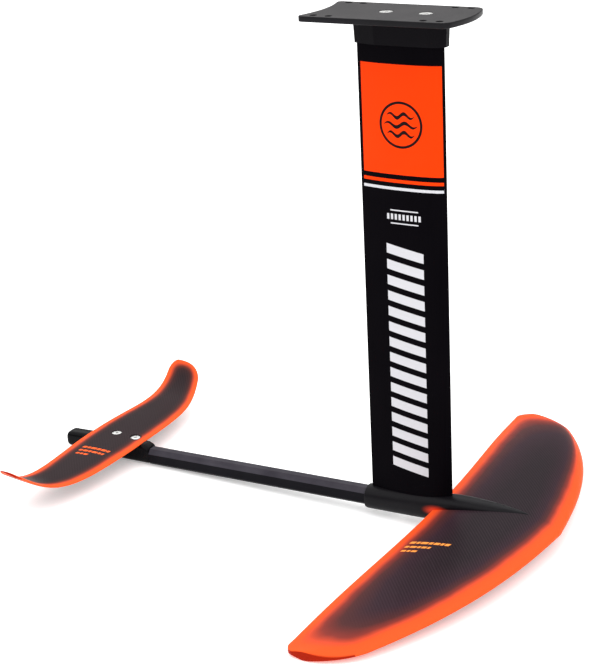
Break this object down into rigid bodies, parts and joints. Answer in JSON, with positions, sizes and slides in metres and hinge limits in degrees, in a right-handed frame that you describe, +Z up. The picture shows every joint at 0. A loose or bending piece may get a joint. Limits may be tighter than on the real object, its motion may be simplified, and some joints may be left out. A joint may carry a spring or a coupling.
{
  "type": "hydrofoil",
  "caption": "Hydrofoil for a board: upright foil-section mast on a top plate, round fuselage with a long tail boom, wide front wing and a small rear wing with upturned tips.",
  "frame": {"origin": "on the floor, under the middle of the object's box, with the foil standing on the front wing's tips and the tail", "axes": "+X forward, towards the front wing's nose; +Y to port; +Z up from the floor. The mast leans back 1.8 degrees from +Z"},
  "size_m": [0.7252, 0.71, 0.6471],
  "materials": {
    "plate": "bead blasted, dark grey anodised",
    "collar": "satin black anodised",
    "mast": "satin black anodised, printed graphics",
    "fuselage": "satin black anodised",
    "boom": "satin black anodised",
    "moulding": "glass filled nylon, semi-gloss black",
    "insert": "turned stainless steel",
    "screw": "stainless steel",
    "wing_skin": "carbon and glass laminate, dark centre, orange sprayed edges, clear coat",
    "wing_core": "rigid foam"
  },
  "bodies": {
    "root": {"top_plate": "plate", "mast_collar": "collar", "mast": "mast", "mast_head_insert_front": "insert", "mast_head_insert_rear": "insert", "mast_foot_insert_front": "insert", "mast_foot_insert_rear": "insert", "plate_screw_front": "screw", "plate_screw_rear": "screw", "fuselage_pod": "fuselage", "tail_boom": "boom", "mast_foot_screw_front": "screw", "mast_foot_screw_rear": "screw", "boom_lock_screw": "screw", "front_wing_upper_skin": "wing_skin", "front_wing_lower_skin": "wing_skin", "front_wing_core": "wing_core", "front_wing_bushing_front": "insert", "front_wing_bushing_middle": "insert", "front_wing_bushing_rear": "insert", "front_wing_screw_front": "screw", "front_wing_screw_middle": "screw", "front_wing_screw_rear": "screw", "rear_wing_mount": "moulding", "mount_lock_screw": "screw", "rear_wing": "wing_skin", "rear_wing_screw_front": "screw", "rear_wing_screw_rear": "screw"}
  },
  "joints": []
}
